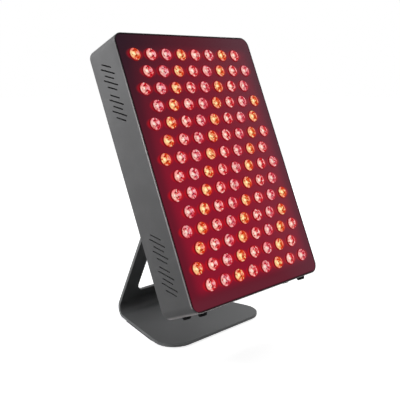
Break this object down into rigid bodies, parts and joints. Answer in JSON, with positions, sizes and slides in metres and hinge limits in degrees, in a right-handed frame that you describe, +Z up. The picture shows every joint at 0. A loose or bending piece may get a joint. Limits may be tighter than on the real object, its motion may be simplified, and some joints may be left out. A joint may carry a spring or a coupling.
{
  "type": "red light therapy panel",
  "caption": "Rectangular lamp panel with rows of round lenses, tilting on a clamped hinge above a bent metal plate stand.",
  "frame": {"origin": "on the ground below the middle of the whole at the rest tilt", "axes": "+Z up, the lamps face -Y and lean back, +X along the hinge axis to the right as seen from the front"},
  "size_m": [0.2276, 0.2064, 0.3739],
  "materials": {
    "grey_paint": "satin grey powder coat",
    "front_paint": "satin black lacquer in red light",
    "lens": "clear moulded lens over a lit lamp",
    "board": "white solder mask on an aluminium core",
    "bare_aluminium": "bare extruded",
    "black_plastic": "fine moulded grain",
    "guard_wire": "black coated wire",
    "rubber": "matt",
    "zinc_steel": "zinc plated",
    "rocker": "gloss"
  },
  "bodies": {
    "stand": {"stand_plate": "grey_paint", "base_pad": "rubber", "hinge_rod": "zinc_steel", "friction_washer_right": "zinc_steel", "friction_washer_left": "zinc_steel", "knob_washer_right": "zinc_steel", "knob_washer_left": "zinc_steel"},
    "knob_right": {"knob_right": "black_plastic"},
    "knob_left": {"knob_left": "black_plastic"},
    "panel": {"housing": "grey_paint", "front_cover": "front_paint", "rear_cover": "grey_paint", "lens_row_01": "lens", "lens_row_02": "lens", "lens_row_03": "lens", "lens_row_04": "lens", "lens_row_05": "lens", "lens_row_06": "lens", "lens_row_07": "lens", "lens_row_08": "lens", "lens_row_09": "lens", "lens_row_10": "lens", "lens_row_11": "lens", "lens_row_12": "lens", "lens_row_13": "lens", "lens_row_14": "lens", "led_board": "board", "heat_sink": "bare_aluminium", "led_driver_left": "bare_aluminium", "led_driver_right": "bare_aluminium", "fan_frame_upper": "black_plastic", "fan_guard_upper": "guard_wire", "fan_frame_lower": "black_plastic", "fan_guard_lower": "guard_wire", "switch_body_left": "black_plastic", "switch_body_right": "black_plastic", "power_inlet": "black_plastic", "tilt_bracket": "grey_paint", "bracket_screw_1": "zinc_steel", "bracket_screw_2": "zinc_steel", "bracket_screw_3": "zinc_steel", "bracket_screw_4": "zinc_steel", "foot_front_left": "rubber", "foot_rear_left": "rubber", "foot_front_right": "rubber", "foot_rear_right": "rubber"},
    "fan_rotor_upper": {"fan_rotor_upper": "black_plastic"},
    "fan_rotor_lower": {"fan_rotor_lower": "black_plastic"},
    "switch_rocker_left": {"switch_rocker_left": "rocker"},
    "switch_rocker_right": {"switch_rocker_right": "rocker"}
  },
  "joints": [
    {"name": "panel_tilt", "type": "hinge", "parent": "stand", "child": "panel", "pos_m": [0, 0.03201, 0.20929], "axis": [1, 0, 0], "range_deg": [-21.34, 23.66]},
    {"name": "knob_right_turn", "type": "hinge", "parent": "stand", "child": "knob_right", "pos_m": [0.05, 0.03201, 0.20929], "axis": [1, 0, 0], "range_deg": [0, 180]},
    {"name": "knob_left_turn", "type": "hinge", "parent": "stand", "child": "knob_left", "pos_m": [-0.05, 0.03201, 0.20929], "axis": [-1, 0, 0], "range_deg": [0, 180]},
    {"name": "fan_upper_spin", "type": "hinge", "parent": "panel", "child": "fan_rotor_upper", "pos_m": [0, 0.04456, 0.30096], "axis": [0, 0.9159, -0.4013], "continuous": true},
    {"name": "fan_lower_spin", "type": "hinge", "parent": "panel", "child": "fan_rotor_lower", "pos_m": [0, -0.02812, 0.13508], "axis": [0, 0.9159, -0.4013], "continuous": true},
    {"name": "switch_left_rock", "type": "hinge", "parent": "panel", "child": "switch_rocker_left", "pos_m": [-0.057, -0.04577, 0.07087], "axis": [1, 0, 0], "range_deg": [-14, 0]},
    {"name": "switch_right_rock", "type": "hinge", "parent": "panel", "child": "switch_rocker_right", "pos_m": [-0.035, -0.04577, 0.07087], "axis": [1, 0, 0], "range_deg": [-14, 0]}
  ]
}
